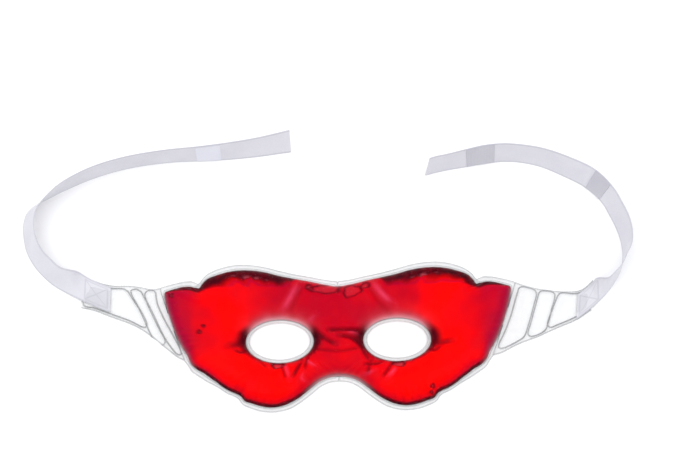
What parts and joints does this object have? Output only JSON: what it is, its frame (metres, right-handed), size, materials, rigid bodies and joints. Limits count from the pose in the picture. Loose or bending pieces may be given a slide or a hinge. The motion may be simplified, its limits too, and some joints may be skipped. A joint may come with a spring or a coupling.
{
  "type": "gel eye mask",
  "caption": "Reusable gel eye mask: red gel welded between clear films with oval eye openings, clear ribbed side tabs and sheer hook-and-loop straps.",
  "frame": {"origin": "middle of the flat back face at the nose bridge, half way between the eye openings; the mask lies on its back on z = 0", "axes": "+X towards the picture's right-hand tab, +Y towards the forehead edge, +Z out of the front, away from the wearer"},
  "size_m": [0.3758, 0.1781, 0.0163],
  "materials": {
    "clear_vinyl": "clear soft vinyl film, glossy",
    "red_gel": "translucent red gel, wet gloss",
    "sheer_ribbon": "sheer white woven ribbon",
    "hook_tape": "thin translucent hook tape",
    "loop_tape": "thin translucent loop tape"
  },
  "bodies": {
    "pouch_left": {"front_film_left": "clear_vinyl", "gel_fill_left": "red_gel", "back_film_left": "clear_vinyl"},
    "pouch_right": {"front_film_right": "clear_vinyl", "gel_fill_right": "red_gel", "back_film_right": "clear_vinyl"},
    "tab_left": {"left_tab_front_film": "clear_vinyl", "left_tab_back_film": "clear_vinyl", "left_strap_end": "sheer_ribbon"},
    "tab_right": {"right_tab_front_film": "clear_vinyl", "right_tab_back_film": "clear_vinyl", "right_strap_end": "sheer_ribbon"},
    "strap_left": {"left_strap": "sheer_ribbon"},
    "strap_right": {"right_strap": "sheer_ribbon"},
    "strap_tail_left": {"left_strap_tail": "sheer_ribbon", "left_loop_patch": "loop_tape"},
    "strap_tail_right": {"right_strap_tail": "sheer_ribbon", "right_hook_patch": "hook_tape", "right_hook_patch_inner": "hook_tape"}
  },
  "joints": [
    {"name": "bridge_fold", "type": "hinge", "parent": "pouch_left", "child": "pouch_right", "pos_m": [0.002, 0, 0], "axis": [0, 1, 0], "range_deg": [0, 150]},
    {"name": "left_tab_flex", "type": "hinge", "parent": "pouch_left", "child": "tab_left", "pos_m": [-0.10215, 0.0122, 0.00075], "axis": [-0.323, 0.9464, 0], "range_deg": [-90, 60]},
    {"name": "right_tab_flex", "type": "hinge", "parent": "pouch_right", "child": "tab_right", "pos_m": [0.10215, 0.0122, 0.00075], "axis": [-0.323, -0.9464, 0], "range_deg": [-90, 60]},
    {"name": "left_strap_swing", "type": "hinge", "parent": "tab_left", "child": "strap_left", "pos_m": [-0.1573, 0.0286, 0.001], "axis": [0, 1, 0], "range_deg": [-90, 45]},
    {"name": "right_strap_swing", "type": "hinge", "parent": "tab_right", "child": "strap_right", "pos_m": [0.1552, 0.0184, 0.001], "axis": [-0.1219, -0.9925, 0], "range_deg": [-90, 15]},
    {"name": "left_strap_bend", "type": "hinge", "parent": "strap_left", "child": "strap_tail_left", "pos_m": [-0.17, 0.1005, 0.0003], "axis": [0, 0, 1], "range_deg": [-15, 90]},
    {"name": "right_strap_bend", "type": "hinge", "parent": "strap_right", "child": "strap_tail_right", "pos_m": [0.1754, 0.048, 0.0003], "axis": [0, 0, -1], "range_deg": [-15, 45]}
  ]
}
